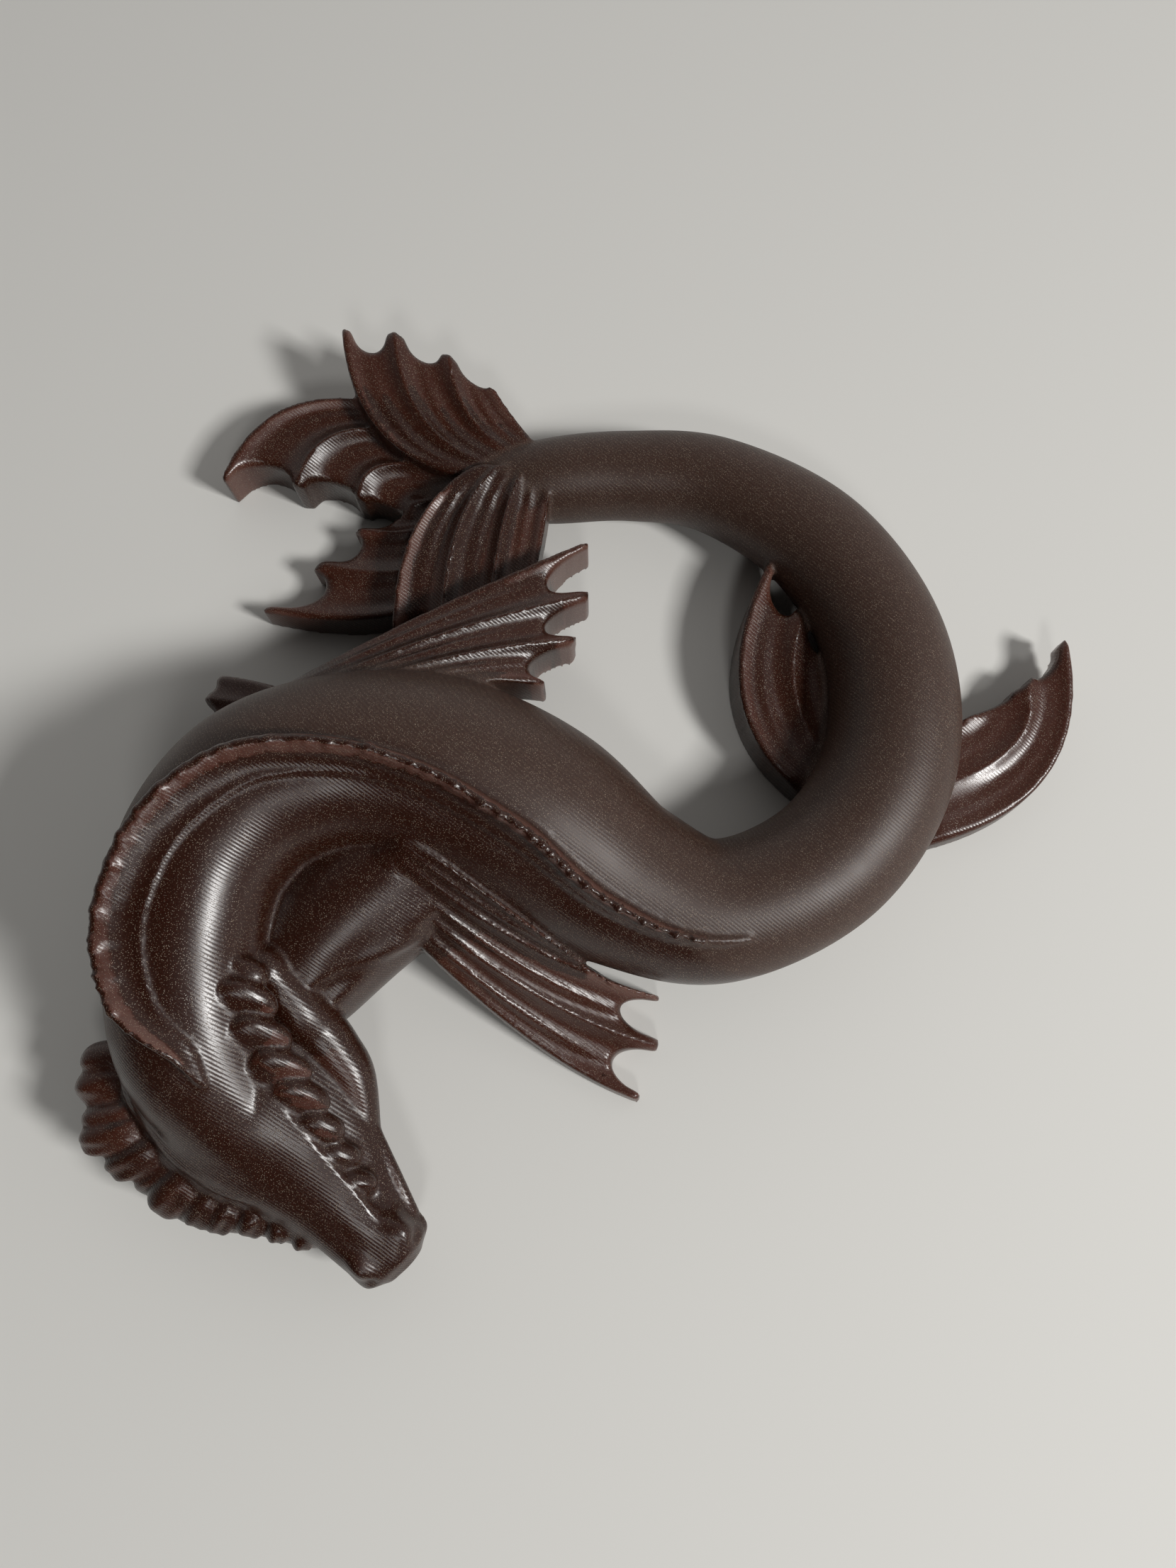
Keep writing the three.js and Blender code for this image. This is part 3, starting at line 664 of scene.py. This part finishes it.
# Lighter rubbed colour, partly the matt finish and partly painted sheen of overhead light on the
# lit sides.
RUBBED_SHEEN_COLOUR = (0.060, 0.032, 0.022, 1)
GRIT_COLOUR = (0.40, 0.32, 0.24, 1)
LAYERS_TURN = (0, math.radians(25), math.radians(-45))
HOLLOW_DULLNESS, SANDED_DULLNESS = 0.35, 0.17
resin = bpy.data.materials.new("brown_resin")
resin.use_nodes = True
nodes, links = resin.node_tree.nodes, resin.node_tree.links
nodes.clear()


def node(kind, **values):
    """A node with its settings, and the plain values of its sockets, given by name."""
    made = nodes.new(kind)
    for name, value in values.items():
        if hasattr(made, name):
            setattr(made, name, value)
        else:
            made.inputs[name.replace("_", " ")].default_value = value
    return made


output = node("ShaderNodeOutputMaterial")
surface = node("ShaderNodeBsdfPrincipled", IOR=1.5, Subsurface_Weight=0.25,
               Subsurface_Radius=(1.0, 0.45, 0.3), Subsurface_Scale=0.0012)
links.new(surface.outputs[0], output.inputs["Surface"])
place = node("ShaderNodeTexCoord")
thickness = node("ShaderNodeAttribute", attribute_name="depth")
pooled = node("ShaderNodeAttribute", attribute_name="hollow")
rubbed_sheen = node("ShaderNodeAttribute", attribute_name="sanded_sheen")
thickness_share = node("ShaderNodeMath", operation="DIVIDE")
links.new(thickness.outputs["Fac"], thickness_share.inputs[0])
thickness_share.inputs[1].default_value = TONE_DEPTH
# Painted light: the thin resin's paler, redder tones stand in for light coming through it and for
# the floor reflected in thin walls.
tone = node("ShaderNodeValToRGB")
links.new(thickness_share.outputs[0], tone.inputs["Fac"])
stops = tone.color_ramp.elements
stops[0].position, stops[1].position = min(TONES), max(TONES)
for share in sorted(TONES)[1:-1]:
    stops.new(share)
for stop, shade in zip(stops, TONES.values()):
    stop.color = shade
turned = node("ShaderNodeMapping", Rotation=LAYERS_TURN)
links.new(place.outputs["Object"], turned.inputs["Vector"])
layers = node("ShaderNodeTexWave", wave_profile="SIN", bands_direction="X", Scale=950,
              Distortion=0.6)
links.new(turned.outputs[0], layers.inputs["Vector"])
worn_sheen = node("ShaderNodeMapRange", To_Min=0.36, To_Max=0.78)
links.new(layers.outputs["Fac"], worn_sheen.inputs["Value"])
rub_sheen_share = node("ShaderNodeMath", operation="MULTIPLY")
links.new(rubbed_sheen.outputs["Fac"], rub_sheen_share.inputs[0])
links.new(worn_sheen.outputs[0], rub_sheen_share.inputs[1])
# Painted sheen: the sanded ring and hump side are lightened, partly for their rubbed finish and
# partly to stand in for overhead light on them.
rub_sheen_colour = node("ShaderNodeMix", data_type="RGBA", B=RUBBED_SHEEN_COLOUR)
links.new(rub_sheen_share.outputs[0], rub_sheen_colour.inputs["Factor"])
links.new(tone.outputs["Color"], rub_sheen_colour.inputs["A"])
grit = node("ShaderNodeTexVoronoi", Scale=6000)
links.new(place.outputs["Object"], grit.inputs["Vector"])
grit_mask = node("ShaderNodeMapRange", From_Min=0.30, From_Max=0.12)
links.new(grit.outputs["Distance"], grit_mask.inputs["Value"])
patches = node("ShaderNodeTexNoise", Scale=900, Detail=2)
links.new(place.outputs["Object"], patches.inputs["Vector"])
grit_share = node("ShaderNodeMath", operation="MULTIPLY")
links.new(grit_mask.outputs[0], grit_share.inputs[0])
links.new(patches.outputs["Fac"], grit_share.inputs[1])
colour = node("ShaderNodeMix", data_type="RGBA", B=GRIT_COLOUR)
links.new(grit_share.outputs[0], colour.inputs["Factor"])
links.new(rub_sheen_colour.outputs["Result"], colour.inputs["A"])
links.new(colour.outputs["Result"], surface.inputs["Base Color"])
cloud = node("ShaderNodeTexNoise", Scale=140, Detail=4)
links.new(place.outputs["Object"], cloud.inputs["Vector"])
gloss = node("ShaderNodeMapRange", To_Min=0.20, To_Max=0.40)
links.new(cloud.outputs["Fac"], gloss.inputs["Value"])
matt = node("ShaderNodeMath", operation="MULTIPLY_ADD")
links.new(rubbed_sheen.outputs["Fac"], matt.inputs[0])
matt.inputs[1].default_value = SANDED_DULLNESS
links.new(gloss.outputs[0], matt.inputs[2])
dull = node("ShaderNodeMath", operation="MULTIPLY_ADD")
links.new(pooled.outputs["Fac"], dull.inputs[0])
dull.inputs[1].default_value = HOLLOW_DULLNESS
links.new(matt.outputs[0], dull.inputs[2])
links.new(dull.outputs[0], surface.inputs["Roughness"])
layer_share = node("ShaderNodeMath", operation="MULTIPLY")
links.new(layers.outputs["Fac"], layer_share.inputs[0])
links.new(cloud.outputs["Fac"], layer_share.inputs[1])
relief = node("ShaderNodeBump", Strength=0.36, Distance=0.00005)
links.new(layer_share.outputs[0], relief.inputs["Height"])
grain = node("ShaderNodeBump", Strength=0.35, Distance=0.00004)
links.new(grit_share.outputs[0], grain.inputs["Height"])
links.new(relief.outputs[0], grain.inputs["Normal"])
links.new(grain.outputs[0], surface.inputs["Normal"])

skin_mesh.materials.append(resin)
sea_dragon = bpy.data.objects.new("sea_dragon_casting", skin_mesh)
bpy.context.scene.collection.objects.link(sea_dragon)
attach(sea_dragon, "root")
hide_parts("sea_dragon")

# Floor: a plain pale table top, one matt sheet.
FLOOR_REACH = 1.2
FLOOR_COLOUR = (0.72, 0.715, 0.69, 1)
floor_mesh = bpy.data.meshes.new("floor")
table_top = bmesh.new()
bmesh.ops.create_grid(table_top, x_segments=1, y_segments=1, size=FLOOR_REACH)
table_top.to_mesh(floor_mesh)
table_top.free()
floor = bpy.data.objects.new("floor", floor_mesh)
bpy.context.scene.collection.objects.link(floor)
pale = bpy.data.materials.new("pale_floor")
pale.use_nodes = True
paint = pale.node_tree.nodes["Principled BSDF"]
paint.inputs["Base Color"].default_value = FLOOR_COLOUR
paint.inputs["Roughness"].default_value = 0.9
floor_mesh.materials.append(pale)

# Studio light: a small window from the right and the head's side, a weaker one from the head's
# side, and a dim room that is lighter low down beyond the tail.
DAYLIGHT = (1.0, 0.99, 0.97)
ROOM_TINT = (1.0, 0.975, 0.95, 1)
LIGHT_SIDE = (0.25, 0.75, -0.60)
DIMMEST, BRIGHTEST = 0.02, 0.68


def soft_light(name, place, size, energy):
    """A square light that looks at the middle of the table."""
    light = bpy.data.objects.new(name, bpy.data.lights.new(name, "AREA"))
    light.data.size = size
    light.data.energy = energy
    light.data.color = DAYLIGHT
    light.location = place
    light.rotation_euler = (-Vector(place)).to_track_quat("-Z", "Y").to_euler()
    bpy.context.scene.collection.objects.link(light)


soft_light("window", (0.46, -0.22, 0.48), 0.13, 3.8)
soft_light("far window", (0.05, -0.40, 0.48), 0.10, 0.45)
sky = bpy.data.worlds.new("sky")
sky.use_nodes = True
sky_nodes, sky_links = sky.node_tree.nodes, sky.node_tree.links
bearing = sky_nodes.new("ShaderNodeTexCoord")
facing = sky_nodes.new("ShaderNodeVectorMath")
facing.operation = "DOT_PRODUCT"
facing.inputs[1].default_value = LIGHT_SIDE
sky_links.new(bearing.outputs["Generated"], facing.inputs[0])
level = sky_nodes.new("ShaderNodeMapRange")
level.inputs["From Min"].default_value = -0.7
level.inputs["From Max"].default_value = 0.8
level.inputs["To Min"].default_value = DIMMEST
level.inputs["To Max"].default_value = BRIGHTEST
sky_links.new(facing.outputs["Value"], level.inputs["Value"])
sky_links.new(level.outputs[0], sky_nodes["Background"].inputs["Strength"])
sky_nodes["Background"].inputs["Color"].default_value = ROOM_TINT
bpy.context.scene.world = sky
bpy.context.scene.view_settings.view_transform = "Standard"
